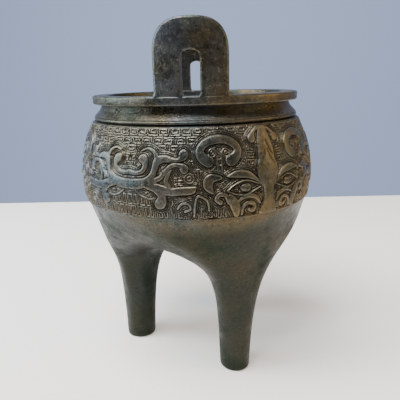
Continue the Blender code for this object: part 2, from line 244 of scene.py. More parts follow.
def turn_section(section, steps):
    """Extrude one point along a closed section, then spin it once round the upright axis."""
    start_clean()
    bpy.ops.mesh.primitive_plane_add(size=MM)
    piece = bpy.context.object
    bpy.ops.object.mode_set(mode="EDIT")
    bpy.ops.mesh.select_all(action="SELECT")
    bpy.ops.mesh.merge(type="CENTER")
    radius, height = section[0]
    bpy.ops.transform.translate(value=(radius * MM, 0, height * MM))
    for here, there in zip(section, section[1:]):
        step = ((there[0] - here[0]) * MM, 0, (there[1] - here[1]) * MM)
        bpy.ops.mesh.extrude_vertices_move(TRANSFORM_OT_translate={"value": step})
    bpy.ops.mesh.select_all(action="SELECT")
    bpy.ops.mesh.spin(steps=steps, angle=2 * math.pi, center=(0, 0, 0), axis=(0, 0, 1))
    bpy.ops.mesh.select_all(action="SELECT")
    bpy.ops.mesh.remove_doubles(threshold=SEAM_MERGE * MM)
    bpy.ops.mesh.normals_make_consistent(inside=False)
    bpy.ops.object.mode_set(mode="OBJECT")
    return piece


rim = turn_section(upper_wall, TURN_STEPS)
finish_piece(rim, "rim_and_neck")

# %% [markdown]
# ## Lobes and legs
# Under the belt the bowl swells into three smooth lobes that run down into round legs, with soft folds
# between them. A cage of few points is the right tool for such a form: one grid per leg is wrapped round it,
# the three grids are merged along the folds, and Subdivision Surface rounds them. It is the solid's own cage.

# %% Sizes of the lobes and legs
ROUND_STEPS = 3
FOLD_STEPS = 3
LEG_ROWS = 4
FOLD_DEPTH = 48.6
FOLD_DROP = 0.78
FOLD_REACH = 0.56
LEG_CIRCLE = 62.7
LOBE_CIRCLE = 61.2
LOBE_TURN = 1.5
FOOT_RADIAL = 14.4
FOOT_ACROSS = 12.9
FOOT_ROUND = 2.5
SOLE_FLAT = 0.45
SOLE_TUCK = 0.2
LEG_TAPER = (0.003, -0.012, 0.003, 0.0)
LEG_STRAIGHT = (0.68, 0.86, 0.90, -0.02)
LOBE_FULL = (0.89, 1.05, 0.64, 0.0)
LOBE_LEAN_OUT = 0.47
LOBE_LEAN_FOLD = 0.12


def drawn_in(count):
    """How much a ring of so many corners draws in when it is subdivided."""
    return (2 + math.cos(2 * math.pi / count)) / 3


def around(values, angle):
    """A value that changes round a leg: outward, sideways, inward, and at the outer corner."""
    out, side, inward, corner = values
    cosine = math.cos(angle)
    mixed = side * math.sin(angle) ** 2 + (out if cosine > 0 else inward) * cosine ** 2
    return mixed + (corner * math.sin(2 * angle) ** 2 if cosine > 0 else 0)


def bezier(a, b, c, d, t):
    """A point on a cubic curve."""
    return (1 - t) ** 3 * a + 3 * (1 - t) ** 2 * t * b + 3 * (1 - t) * t * t * c + t ** 3 * d


# %% The edge of one lobe
def flat_direction(degrees):
    """A level direction at an azimuth."""
    return np.array([math.cos(math.radians(degrees)), math.sin(math.radians(degrees)), 0.0])


def lobe_edge():
    """Half the edge of one lobe, as (point, two directions that the surface runs in)."""
    radius = LOBE_TOP_RADIUS / drawn_in(6 * ROUND_STEPS)
    up = np.array([0.0, 0.0, 1.0])
    edge = []
    for i in range(ROUND_STEPS + 1):
        azimuth = 60 * i / ROUND_STEPS
        share = (1 - math.cos(math.radians(3 * azimuth))) / 2
        lean = LOBE_LEAN_OUT + (LOBE_LEAN_FOLD - LOBE_LEAN_OUT) * share
        outward = flat_direction(azimuth)
        edge.append((outward * radius + up * LOBE_TOP, flat_direction(azimuth + 90), outward * lean + up))
    outward = flat_direction(60)
    start, end = edge[-1][0], up * (BELT_FOOT - FOLD_DEPTH)
    lean = outward * LOBE_LEAN_FOLD + up
    drop = lean / np.linalg.norm(lean) * FOLD_DROP * (start[2] - end[2])
    curve = (start, start - drop, end + outward * FOLD_REACH * radius, end)
    for i in range(1, FOLD_STEPS + 1):
        t = i / FOLD_STEPS
        way = bezier(*curve, t - 0.001) - bezier(*curve, min(t + 0.001, 1))
        edge.append((bezier(*curve, t), flat_direction(150), way))
    return edge


# %% The cage of one leg
def leg_rings():
    """One lobe and leg as rings of cage points, from the ground up to the lobe's edge."""
    half = lobe_edge()
    steps = len(half) - 1
    edge = [(math.pi * k / steps, *item) for k, item in enumerate(half)]
    mirror = np.array([1.0, -1.0, 1.0])
    edge += [(-angle, *(v * mirror for v in vectors)) for angle, *vectors in edge[-2:0:-1]]
    foot = LEG_CIRCLE * flat_direction(-LOBE_TURN)
    lobe = LOBE_CIRCLE * flat_direction(0)
    up = np.array([0.0, 0.0, 1.0])
    rings = [[] for _ in range(LEG_ROWS + 4)]
    for angle, end, first, second in edge:
        out = flat_direction(math.degrees(angle))
        radius = FOOT_RADIAL * FOOT_ACROSS / math.hypot(FOOT_ACROSS * out[0], FOOT_RADIAL * out[1])
        radius /= drawn_in(len(edge))
        straight = around(LEG_STRAIGHT, angle) * end[2]
        knee = foot + (lobe - foot) * straight / end[2] + up * straight
        knee += out * (radius + around(LEG_TAPER, angle) * straight)
        normal = np.cross(first, second)
        normal /= np.linalg.norm(normal)
        way = end - knee
        full = around(LOBE_FULL, angle) * np.linalg.norm(way)
        way -= normal * way.dot(normal)
        way /= np.linalg.norm(way)
        rings[0].append(foot + out * radius * SOLE_FLAT)
        rings[1].append(foot + out * (radius - SOLE_TUCK * FOOT_ROUND))
        rings[2].append(foot + out * radius + up * FOOT_ROUND)
        start = foot + out * radius + up * 2 * FOOT_ROUND
        for row in range(LEG_ROWS + 1):
            rings[row + 3].append(bezier(start, knee, end - way * full, end, row / LEG_ROWS))
    return np.array(rings)


cage = leg_rings()
print("cage rings and points round each", cage.shape[:2])

# %% Wrap three grids round the legs and merge them
FOLD_MERGE = 0.02


def wrapped_grid(rings, degrees):
    """A grid primitive whose points are laid on the rings, turned about the upright axis."""
    rows, columns = rings.shape[:2]
    start_clean()
    bpy.ops.mesh.primitive_grid_add(x_subdivisions=columns, y_subdivisions=rows - 1, size=1000 * MM)
    piece = bpy.context.object
    spread = points_of(piece) / 1000 + 0.5
    column = np.rint(spread[:, 0] * columns).astype(int) % columns
    row = np.rint(spread[:, 1] * (rows - 1)).astype(int)
    turn = np.array(Matrix.Rotation(math.radians(degrees), 3, "Z"))
    place_points(piece, rings[row, column] @ turn.T)
    return piece


def three_legs(rings):
    """The three legs' grids as one merged cage."""
    legs = [wrapped_grid(rings, azimuth + LOBE_TURN) for azimuth in LEG_AZIMUTHS]
    start_clean()
    for leg in legs:
        leg.select_set(True)
    bpy.context.view_layer.objects.active = legs[0]
    bpy.ops.object.join()
    bpy.ops.object.mode_set(mode="EDIT")
    bpy.ops.mesh.select_all(action="SELECT")
    bpy.ops.mesh.remove_doubles(threshold=FOLD_MERGE * MM)
    bpy.ops.mesh.normals_make_consistent(inside=False)
    bpy.ops.object.mode_set(mode="OBJECT")
    return legs[0]


def select_open_edges():
    """In edit mode, select the edges that have a face on one side only."""
    bpy.ops.mesh.select_mode(type="EDGE")
    bpy.ops.mesh.select_all(action="DESELECT")
    bpy.ops.mesh.select_non_manifold(extend=False, use_wire=False, use_multi_face=False,
                                     use_non_contiguous=False)


def close_holes_below(piece, height):
    """Fill each leg's open ring near the ground or at the hollow's floor."""
    start_clean()
    piece.select_set(True)
    bpy.context.view_layer.objects.active = piece
    bpy.ops.object.mode_set(mode="EDIT")
    select_open_edges()
    bpy.ops.mesh.select_mode(type="VERT")
    bpy.ops.object.mode_set(mode="OBJECT")
    chosen = np.empty(len(piece.data.vertices), dtype=bool)
    piece.data.vertices.foreach_get("select", chosen)
    low = points_of(piece)[:, 2] < height
    choose(piece, lambda p: chosen & low)
    bpy.ops.mesh.fill_holes(sides=cage.shape[1])
    bpy.ops.object.mode_set(mode="OBJECT")


SMOOTHING = 3


def subdivided(piece):
    """Apply Subdivision Surface."""
    smooth = piece.modifiers.new("smooth form", "SUBSURF")
    smooth.levels = SMOOTHING
    smooth.render_levels = SMOOTHING
    start_clean()
    piece.select_set(True)
    bpy.context.view_layer.objects.active = piece
    bpy.ops.object.modifier_apply(modifier=smooth.name)


SOLE_LEVEL = 1.0
HIDDEN_LAP = 1.7

outside = three_legs(cage)
close_holes_below(outside, SOLE_LEVEL)
choose(outside, lambda p: p[:, 2] > LOBE_TOP - 0.01)
for lift in (STEP_DOWN, HIDDEN_LAP):
    bpy.ops.mesh.extrude_edges_move(TRANSFORM_OT_translate={"value": (0, 0, lift * MM)})
bpy.ops.object.mode_set(mode="OBJECT")
subdivided(outside)
print("outside", len(outside.data.vertices), "points")

# %% [markdown]
# ## The hollow inside the lobes
# The core of the mould followed the outside at an even distance, so the inner face is the same cage drawn in
# by the wall along its normals, from part way up each leg. It is subdivided alone, turned inside out, and the
# two skins are bridged at the top, where the belt's wall covers the joint.

# %% The inner skin and the joint
HOLLOW_ROW = 4
HOLLOW_FLOOR = 90.0

inside = three_legs(cage[HOLLOW_ROW:])
inner = points_of(inside)
normals = np.empty(len(inner) * 3)
inside.data.vertices.foreach_get("normal", normals)
place_points(inside, inner - normals.reshape(-1, 3) * WALL)
close_holes_below(inside, HOLLOW_FLOOR)
subdivided(inside)
bpy.ops.object.mode_set(mode="EDIT")
bpy.ops.mesh.select_all(action="SELECT")
bpy.ops.mesh.normals_make_consistent(inside=False)
bpy.ops.mesh.flip_normals()
bpy.ops.object.mode_set(mode="OBJECT")
start_clean()
inside.select_set(True)
outside.select_set(True)
bpy.context.view_layer.objects.active = outside
bpy.ops.object.join()
bpy.ops.object.mode_set(mode="EDIT")
select_open_edges()
bpy.ops.mesh.bridge_edge_loops()
bpy.ops.mesh.select_mode(type="VERT")
bpy.ops.object.mode_set(mode="OBJECT")
finish_piece(outside, "lobes_and_legs")

# %% [markdown]
# ## The loop handles
# Each handle is an upright loop that grew out of the rim in the casting, square in the shoulders and round at
# the top of its slot. A block with rounded upright edges is extruded up one side, spun over half a circle,
# and extruded down the other. The loop is then drawn from that even width to its true edges, and bent to the
# rim's curve, so that its front runs on down the rim's edge without a step.

# %% Model an even loop
HANDLE_WIDTH = 53.7
HANDLE_SPRING = 25.7
HANDLE_HEIGHT = 52.6
HANDLE_SQUARE = 2.75
SLOT_WIDTH = 12.9
SLOT_HEIGHT = 30.2
HANDLE_THICKNESS = 10.7
HANDLE_ROUND = 1.9
BAR = (HANDLE_WIDTH - SLOT_WIDTH) / 2
MIDDLE = (HANDLE_WIDTH + SLOT_WIDTH) / 4
SPRING = RIM_TOP + HANDLE_SPRING
BASE = RIM_UNDERSIDE + 1.3
FOOT_FLARE = 1.5
FOOT_RISE = 3.0
SIDE_STEPS = 28
SIDE_STEP = (SPRING - BASE) / SIDE_STEPS
ARCH_STEPS = 48


def flat_handle():
    """A short upright block with rounded upright edges: the first step of the loop."""
    start_clean()
    bpy.ops.mesh.primitive_cube_add(size=1, location=(0, 0, 0))
    piece = bpy.context.object
    block = np.array([-MIDDLE, 0, BASE + SIDE_STEP / 2])
    place_points(piece, points_of(piece) / 1000 * np.array([BAR, HANDLE_THICKNESS, SIDE_STEP]) + block)
    bpy.ops.object.mode_set(mode="EDIT")
    bpy.ops.mesh.select_mode(type="EDGE")
    bpy.ops.mesh.select_all(action="DESELECT")
    bpy.ops.object.mode_set(mode="OBJECT")
    spots = points_of(piece)
    for edge in piece.data.edges:
        a, b = (spots[k] for k in edge.vertices)
        edge.select = abs(a[2] - b[2]) > 1
    bpy.ops.object.mode_set(mode="EDIT")
    bpy.ops.mesh.bevel(offset=HANDLE_ROUND * MM, segments=5)
    bpy.ops.object.mode_set(mode="OBJECT")
    return piece


def take_end(piece, test):
    """In edit mode, select the one end face whose middle passes the test."""
    bpy.ops.object.mode_set(mode="EDIT")
    bpy.ops.mesh.select_mode(type="FACE")
    bpy.ops.mesh.select_all(action="DESELECT")
    bpy.ops.object.mode_set(mode="OBJECT")
    for face in piece.data.polygons:
        face.select = test(face)
    bpy.ops.object.mode_set(mode="EDIT")


def grow_handle(piece):
    """Extrude up, spin over the arch, and extrude down again."""
    take_end(piece, lambda face: face.normal.z > 0.9)
    for _ in range(SIDE_STEPS - 1):
        bpy.ops.mesh.extrude_region_move(TRANSFORM_OT_translate={"value": (0, 0, SIDE_STEP * MM)})
    bpy.ops.mesh.spin(steps=ARCH_STEPS, angle=math.pi, center=(0, 0, SPRING * MM), axis=(0, -1, 0))
    for _ in range(SIDE_STEPS):
        bpy.ops.mesh.extrude_region_move(TRANSFORM_OT_translate={"value": (0, 0, -SIDE_STEP * MM)})
    bpy.ops.mesh.select_all(action="SELECT")
    bpy.ops.mesh.normals_make_consistent(inside=False)
    bpy.ops.object.mode_set(mode="OBJECT")


handle = flat_handle()
grow_handle(handle)
even = points_of(handle)
print("even loop from", even.min(0).round(1), "to", even.max(0).round(1))

# %% Draw the loop to its true edges
def true_loop(points):
    """Keep the sides, and move the arch from half circles to square shoulders outside and a rounder slot."""
    x, z = points[:, 0], points[:, 2] - SPRING
    over = z > 0
    angle = np.arctan2(np.maximum(z, 0), x)
    away = np.hypot(x, z)
    across, above = np.cos(angle), np.sin(angle)
    power = 2 / HANDLE_SQUARE
    far_x = HANDLE_WIDTH / 2 * np.sign(across) * np.abs(across) ** power
    far_z = (HANDLE_HEIGHT - HANDLE_SPRING) * np.abs(above) ** power
    near_x, near_z = SLOT_WIDTH / 2 * across, (SLOT_HEIGHT - HANDLE_SPRING) * above
    share = (away - SLOT_WIDTH / 2) / BAR
    shaped = points.copy()
    shaped[:, 0] = np.where(over, near_x + (far_x - near_x) * share, x)
    shaped[:, 2] = np.where(over, near_z + (far_z - near_z) * share, z) + SPRING
    foot_share = (np.abs(x) - SLOT_WIDTH / 2) / BAR - 0.5
    foot = FOOT_FLARE * np.clip(1 - (points[:, 2] - RIM_TOP - 0.2) / FOOT_RISE, 0, 1) ** 2
    shaped[:, 0] += np.where(over, 0, np.sign(x) * 2 * foot_share * foot)
    return shaped


flat = true_loop(even)
print("true loop's top", flat[:, 2].max().round(1))

# %% Bend the handles to the rim
PROUD_OF_RIM = 0.03


def bent_to_rim(points, side):
    """Bend a flat loop so that its front lies on the rim's curve, at -Y for side 1 and +Y for side -1."""
    radius = RIM_RADIUS + PROUD_OF_RIM - HANDLE_THICKNESS / 2 - side * points[:, 1]
    bent = points.copy()
    bent[:, 1] = -side * np.sqrt(radius ** 2 - points[:, 0] ** 2)
    return bent


back = handle.copy()
back.data = handle.data.copy()
bpy.context.scene.collection.objects.link(back)
place_points(handle, bent_to_rim(flat * np.array([1, -1, 1]), 1))
place_points(back, bent_to_rim(flat, -1))
for piece, name in ((handle, "handle_front"), (back, "handle_back")):
    start_clean()
    piece.select_set(True)
    bpy.context.view_layer.objects.active = piece
    bpy.ops.object.mode_set(mode="EDIT")
    bpy.ops.mesh.select_all(action="SELECT")
    bpy.ops.mesh.normals_make_consistent(inside=False)
    finish_piece(piece, name)

# %% [markdown]
# ## The carving
# The belt's mould was carved in the negative: smooth figures, thin lines round them, and a ground of square
# spirals. It repeats three times, so one panel of 120 degrees is made and copied. The figures are strokes
# with a width, drawn on a flat panel in degrees from the mask's nose by like units up the belt. The height of
# each point of a fine grid is worked out from its distance to the strokes. Carving by operators would need
# thousands of cuts, so this is where moving points by array is the better way.

# %% Figures of half a mask
PANEL_HALF = 60.0
PANEL_HIGH = 37.5
UNIT = BELT_HEIGHT / PANEL_HIGH


def arc(centre, radii, start, end, widths, steps=12):
    """Stroke points on an ellipse; 0 degrees is its top, and angles grow away from the nose."""
    points = []
    for i in range(steps + 1):
        share = i / steps
        angle = math.radians(start + (end - start) * share)
        width = np.interp(share * (len(widths) - 1), range(len(widths)), widths)
        points.append((centre[0] + radii[0] * math.sin(angle), centre[1] + radii[1] * math.cos(angle), width))
    return points


# Each figure: height as a share of the relief, crown, and the stroke's (along, up, half width) points
FIGURES = {
    "nose": (1.0, 0.3, [(0, 37, 1.6), (0, 34, 2.6), (0, 28, 4), (0, 23, 4.3), (0, 18.5, 5.4),
                        (0, 14.5, 3.4), (0, 10, 2.4), (0, 6, 2.8), (0, 2, 4.6)]),
    "crest": (0.95, 0.3, [(6.2, 32, 1.9), (5.2, 33.9, 0.9), (3, 35.6, 0.8), (0, 36, 0.9)]),
    "horn": (1.0, 0.3, arc((21.5, 27.9), (8, 4.6), -144, 144, (2.3, 1.7, 1.7, 1.7, 1.7, 2.3))),
    "brow": (0.9, 0.3, [(18.5, 18, 0.5), (14.5, 18.6, 1.5), (10, 18.1, 1.6), (6.6, 16.2, 0.9),
                        (4, 14, 0.4)]),
    "eyeball": (1.0, 0.6, [(11.8, 12.9, 1.6), (10.4, 12.9, 1.7)]),
    "upper_lid": (0.8, 0, [(19, 12.2, 0.3), (15.5, 14.6, 0.42), (11, 15.9, 0.42), (6.5, 14.6, 0.42),
                           (3, 13.2, 0.3)]),
    "lower_lid": (0.8, 0, [(19, 12.2, 0.3), (15.5, 10.6, 0.42), (11, 10.1, 0.42), (7, 11.4, 0.42),
                           (3, 13.2, 0.3)]),
    "ear": (0.85, 0.2, [(21.6, 17.6, 0.8), (25.6, 17.4, 1.9), (26.6, 14.6, 1.9), (24.9, 11.6, 0.5)]),
    "jaw": (0.8, 0.2, [(17.6, 10, 0.9), (16.4, 7.2, 2), (15.2, 4.4, 2), (15, 1.8, 1.2)]),
    "jaw_hook": (0.7, 0.2, [(18.2, 7.4, 1), (19.6, 10.2, 0.9), (22, 10.8, 0.9), (23.4, 9, 0.9),
                            (21.8, 7.6, 1.1)]),
    "cheek": (0.7, 0.2, [(14.2, 7.4, 0.5), (12, 8.9, 0.9), (9, 9.3, 1), (5.8, 8, 0.9), (4.4, 5.6, 0.5)]),
    "nostril": (0.7, 0.2, [(12.6, 1.8, 0.6), (12.2, 4.8, 0.8), (9.6, 6.4, 0.9), (6.9, 5.2, 0.9),
                           (7.6, 3, 1.1), (9.4, 3.4, 0.8)]),
    "body": (0.85, 0.25, [(60, 14.9, 2.2), (56, 15, 2.2), (52, 16.2, 1.8), (49.4, 18.6, 1.4),
                          (48.2, 21.6, 1.3), (47.2, 24.4, 1.6), (44.2, 25.4, 1.5), (40.4, 24.9, 1),
                          (37.6, 25.2, 0.9), (36.2, 26.9, 2.1)]),
    "tail": (0.75, 0.2, [(47, 25, 1.4), (48.6, 27.9, 0.8), (51.6, 29.2, 0.6), (54.4, 28.4, 0.4)]),
    "claw_high": (0.8, 0.2, [(49.6, 16.4, 1.2), (45.8, 18, 1), (43.4, 20.8, 1), (40.6, 23, 0.9),
                             (37.4, 22.8, 1), (35.9, 21.4, 1.8)]),
    "wrist": (0.65, 0.2, [(41.4, 20.8, 0.5), (42.9, 18.6, 0.9), (43.3, 16.2, 1), (41.6, 13.8, 0.8)]),
    "claw_low": (0.82, 0.2, [(52, 15, 1.6), (46.6, 13.6, 1.9), (41.6, 12.4, 1.7), (37.4, 12.8, 1.7),
                             (33.4, 13, 1.6), (31.6, 14.2, 0.5)]),
    "haunch": (0.8, 0.2, [(47.6, 13, 1.4), (45.2, 10.6, 1.7), (45.6, 8, 2.2), (46.2, 7.2, 2.3)]),
    "curl": (0.8, 0.3, [(60, 19.9, 0.9), (57, 19.4, 0.9), (54, 20.2, 1), (52.6, 22.4, 1.2), (53, 24.8, 1.8),
                        (54, 25.2, 1.8)]),
    "foot_hook": (0.55, 0, [(39, 5.4, 0.5), (37.2, 7.5, 0.5), (34.6, 7.4, 0.5), (33.8, 5.2, 0.5),
                            (36, 4.2, 0.6)]),
    "lip": (0.55, 0, [(32.4, 2, 0.5), (32, 7, 0.5), (30.6, 10.6, 0.5), (27, 8.4, 0.5), (26.4, 4.6, 0.5)]),
}
print(len(FIGURES), "figures in half a mask")

# %% Thin lines of half a mask
THIN = 0.23


def ring(centre, radius, start=0, end=360):
    """A thin round line about a centre."""
    return arc(centre, (radius, radius), start, end, (THIN, THIN), 16)


def thin(*places):
    """A thin line through places."""
    return [(along, up, THIN) for along, up in places]


LINES = [
    ring((34, 17.7), 1.9), ring((34, 17.7), 0.8),
    ring((24.4, 27.3), 1.55, -200, 130), ring((24.4, 27.3), 0.6),
    ring((18.6, 27.3), 1.55, -130, 200), ring((18.6, 27.3), 0.6),
    thin((20.6, 27.6), (20.6, 19.8)), thin((22.4, 27.6), (22.4, 19.8)),
    thin((20.6, 24.9), (22.4, 24.9)), thin((20.6, 22.4), (22.4, 22.4)),
    thin((57, 12.2), (54.6, 10.3), (51, 9), (48.2, 9.4)), ring((51.4, 11.2), 0.75),
    thin((44.6, 22.2), (45.9, 21.2), (46.2, 19.6), (44.9, 20.4), (44.6, 22.2)),
    thin((0.7, 31), (1.5, 28), (3, 25.4)), thin((0.6, 27.4), (1.6, 24.4), (3.4, 21.6)),
    ring((11.1, 12.9), 0.75),
]
print(len(LINES), "thin lines in half a mask")

# %% Heights from strokes
FAR = 99.0


def smooth_line(points, steps=6):
    """A smooth line through a stroke's points, with its half widths."""
    points = np.array(points, dtype=float)
    ends = np.vstack([points[:1], points, points[-1:]])
    line = []
    for j in range(len(points) - 1):
        a, b, c, d = ends[j:j + 4]
        for t in np.arange(steps) / steps:
            line.append(0.5 * (2 * b + (c - a) * t + (2 * a - 5 * b + 4 * c - d) * t ** 2
                               + (3 * b - a - 3 * c + d) * t ** 3))
    line.append(points[-1])
    return np.array(line)


def stroke_distance(along, up, line):
    """For each place, how far outside the stroke's edge it is (negative inside), and the half width there."""
    outside_by = np.full(along.shape, FAR)
    half_width = np.ones(along.shape)
    reach = 4 + line[:, 2].max()
    near = (along > line[:, 0].min() - reach) & (along < line[:, 0].max() + reach)
    near &= (up > line[:, 1].min() - reach) & (up < line[:, 1].max() + reach)
    u, v = along[near], up[near]
    best, wide = outside_by[near], half_width[near]
    for (x0, y0, w0), (x1, y1, w1) in zip(line, line[1:]):
        length = max((x1 - x0) ** 2 + (y1 - y0) ** 2, 1e-9)
        share = np.clip(((u - x0) * (x1 - x0) + (v - y0) * (y1 - y0)) / length, 0, 1)
        width = w0 + (w1 - w0) * share
        gap = np.hypot(u - x0 - share * (x1 - x0), v - y0 - share * (y1 - y0)) - width
        closer = gap < best
        best = np.where(closer, gap, best)
        wide = np.where(closer, width, wide)
    outside_by[near], half_width[near] = best, wide
    return outside_by, half_width


def soft_step(value):
    """A smooth rise from 0 to 1."""
    value = np.clip(value, 0, 1)
    return value * value * (3 - 2 * value)


print("a stroke of 3 points is smoothed to", len(smooth_line([(0, 0, 1), (1, 0, 1), (1, 1, 1)])))

# %% [markdown]
# ## The ground of square spirals
# Between the figures the real belt is filled with square spirals, laid in rows like bricks. They could be
# hundreds of small curves, trimmed round every figure. Here the distance to one spiral is worked out inside
# each cell of the panel, which needs no trimming, and a slight waver keeps the rows from looking ruled.

# %% The ground of square spirals
LINE_GAP = 1.62
LINE_HALF = 0.3
LINE_SLOPE = 0.34


def spiral_distance(x, y, wide, high):
    """Distance in millimetres to the square spiral that fills a cell of the given half width and height."""
    x0, x1, y0, y1 = -wide, wide, -high, high
    x0, x1, y0, y1 = x0 + LINE_GAP / 2, x1 - LINE_GAP / 2, y0 + LINE_GAP / 2, y1 - LINE_GAP / 2
    corners = [(x0, y0), (x0, y1), (x1, y1), (x1, y0)]
    while x1 - x0 > 1.6 * LINE_GAP and y1 - y0 > 0.9 * LINE_GAP:
        x0 += LINE_GAP
        corners.append((x0, y0))
        y1 -= LINE_GAP
        corners.append((x0, max(y1, y0 + 0.5)))
        x1 -= LINE_GAP
        if x1 - x0 < 0.8 * LINE_GAP or y1 - y0 < 0.8 * LINE_GAP:
            break
        corners.append((x1, y1))
        y0 += LINE_GAP
        corners.append((x1, y0))
    best = np.full(x.shape, FAR)
    for (ax, ay), (bx, by) in zip(corners, corners[1:]):
        length = max((bx - ax) ** 2 + (by - ay) ** 2, 1e-9)
        share = np.clip(((x - ax) * (bx - ax) + (y - ay) * (by - ay)) / length, 0, 1)
        best = np.minimum(best, np.hypot(x - ax - share * (bx - ax), y - ay - share * (by - ay)))
    return best


# Rows of cells: tall ones at the foot, near-square ones in the middle, long ones in the upper part
GROUND_ROWS = [(0.9, 5.9, 3.0), (5.9, 10.9, 3.0)]
GROUND_ROWS += [(10.9 + 3.3 * k, 14.2 + 3.3 * k, 3.75) for k in range(4)]
GROUND_ROWS += [(24.1 + 3.25 * k, 27.35 + 3.25 * k, 5.0) for k in range(4)]


def spiral_ground(along, up):
    """How strongly a spiral's raised line shows at each place: 1 on its middle, 0 between lines."""
    along = along + 0.12 * np.sin(1.3 * up + 0.7 * along) + 0.07 * np.sin(2.9 * along - 1.1 * up)
    up = up + 0.10 * np.sin(0.9 * along + 1.7 * up) + 0.05 * np.sin(2.3 * along + 0.6 * up)
    distance = np.full(along.shape, FAR)
    for k, (low, high, wide) in enumerate(GROUND_ROWS):
        inside = (up >= low) & (up < high)
        shifted = along[inside] + wide / 2 * (k % 2)
        column = np.floor(shifted / wide)
        x = (shifted - (column + 0.5) * wide) * UNIT
        y = (up[inside] - (low + high) / 2) * UNIT
        x = np.where(np.mod(column + k, 2) > 0.5, -x, x)
        y = np.where(np.mod(k, 2) > 0.5, -y, y)
        distance[inside] = spiral_distance(x, y, wide / 2 * UNIT, (high - low) / 2 * UNIT)
    return soft_step((LINE_HALF + LINE_SLOPE - distance) / LINE_SLOPE)


print("spiral cells are", [round(wide * UNIT, 1) for low, high, wide in GROUND_ROWS[::4]], "mm wide")

# %% Heights of the whole panel
RELIEF = 2.0
GROUND_LINE = 0.95
EDGE_SLOPE = 0.5
OUTLINES = (0.62, 1.32)
OUTLINE_HALF = 0.17
LINE_EDGE = 0.2
LINE_RISE = 0.5
CLEARING = 0.5
LINE_CLEARING = 0.45
SEAM_DEPTH = 0.35
BORDER = 0.5


def panel_heights(along, up):
    """The carving's height over the belt in millimetres at places on the flat panel."""
    along = np.abs(along)
    figure_height = np.zeros(along.shape)
    apart = np.full(along.shape, FAR)
    for share, crown, points in FIGURES.values():
        outside_by, half_width = stroke_distance(along, up, smooth_line(points))
        rise = soft_step(-outside_by / EDGE_SLOPE + 0.35)
        middle = 1 - np.clip((half_width + outside_by) / half_width, 0, 1) ** 2
        dome = 1 - crown * 0.5 + crown * 0.5 * middle
        figure_height = np.maximum(figure_height, rise * share * RELIEF * dome)
        apart = np.minimum(apart, outside_by)
    near_line = np.full(along.shape, FAR)
    for points in LINES:
        near_line = np.minimum(near_line, stroke_distance(along, up, np.array(points))[0])
    drawn = soft_step(-near_line / LINE_EDGE + 0.7)
    nearest = np.min([np.abs(apart - away) for away in OUTLINES], axis=0)
    outline = soft_step(1.35 - nearest / OUTLINE_HALF) * (apart > 0.3)
    clear = soft_step((apart - OUTLINES[-1] - CLEARING) / LINE_EDGE)
    clear *= soft_step((near_line - LINE_CLEARING) / LINE_EDGE)
    uneven = 0.85 + 0.15 * np.sin(0.55 * along + 1.1 * np.sin(0.4 * up)) * np.sin(0.47 * up + 0.8)
    ground = np.maximum(np.maximum(outline * (near_line > 0.2), drawn), spiral_ground(along, up) * clear)
    figure_height += LINE_RISE * drawn * (figure_height > 0.5)
    height = np.maximum(figure_height, ground * GROUND_LINE * uneven)
    seam = np.clip(1 - np.abs(along - PANEL_HALF) / 0.3, 0, 1) * (figure_height > 1)
    edge = soft_step(np.minimum(up - BORDER, PANEL_HIGH - BORDER - up) / 0.4)
    return (height - SEAM_DEPTH * seam) * edge


print("figures stand", RELIEF, "mm and ground lines", GROUND_LINE, "mm proud of the belt")

# %% [markdown]
# ## Wrapping the panel
# On the real mould each panel was one section of clay. A fine grid primitive carries the heights here, and
# its points are wrapped on the belt. Two attributes keep where the carving stands out and where it is hollow,
# so that the bronze can be bared by wear and lit by a painted glint on the first, and darkened by painted
# shade in the second, from any side.

# %% Wrap one panel on the belt
MASK_TURN = 2.4
COLUMNS, ROWS = 540, 172
SHADED_HEIGHT = 1.15
BLUR_REACH = 2
WORN_AND_GLINT_SPAN = 0.55
HOLLOW_SPAN = 0.5


def box_blur(values, reach):
    """The mean over a square of neighbours, by running sums along both ways."""
    for way in (0, 1):
        pads = [(reach + 1, reach) if axis == way else (0, 0) for axis in (0, 1)]
        padded = np.pad(values, pads, mode="edge")
        sums = np.cumsum(padded, axis=way)
        count = values.shape[way]
        high = np.take(sums, np.arange(count) + 2 * reach + 1, axis=way)
        values = (high - np.take(sums, np.arange(count), axis=way)) / (2 * reach + 1)
    return values


lattice_along, lattice_up = np.meshgrid(np.linspace(-PANEL_HALF, PANEL_HALF, COLUMNS + 1),
                                        np.linspace(0, PANEL_HIGH, ROWS + 1))
lattice_height = panel_heights(lattice_along, lattice_up)
shallow = np.minimum(lattice_height, SHADED_HEIGHT)
raised_by = shallow - box_blur(box_blur(shallow, BLUR_REACH), BLUR_REACH)
lattice_height[[0, -1]] = -SUNK
print("carving from", lattice_height[1:-1].min().round(2), "to", lattice_height.max().round(2), "mm")


def carved_panel(degrees):
    """A fine grid raised by the carving and wrapped on the belt, its nose at the azimuth."""
    start_clean()
    bpy.ops.mesh.primitive_grid_add(x_subdivisions=COLUMNS, y_subdivisions=ROWS, size=1)
    piece = bpy.context.object
    spread = points_of(piece) / 1000 + 0.5
    column = np.rint(spread[:, 0] * COLUMNS).astype(int)
    row = np.rint(spread[:, 1] * ROWS).astype(int)
    z = BELT_FOOT + lattice_up[row, column] * UNIT
    radius = belly(z) + lattice_height[row, column]
    angle = np.radians(degrees + lattice_along[row, column])
    place_points(piece, np.column_stack([radius * np.cos(angle), radius * np.sin(angle), z]))
    # The raised places get bare metal from wear and a painted glint, the hollow ones painted shade
    for name, values in (("worn_and_glint", raised_by / WORN_AND_GLINT_SPAN), ("hollow", -raised_by / HOLLOW_SPAN)):
        shade = piece.data.attributes.new(name, "FLOAT", "POINT")
        shade.data.foreach_set("value", np.clip(values[row, column], 0, 1))
    return piece


for azimuth, name in zip(LEG_AZIMUTHS, ("belt_front_right", "belt_back_right", "belt_left")):
    panel = carved_panel(azimuth + MASK_TURN)
    finish_piece(panel, name)
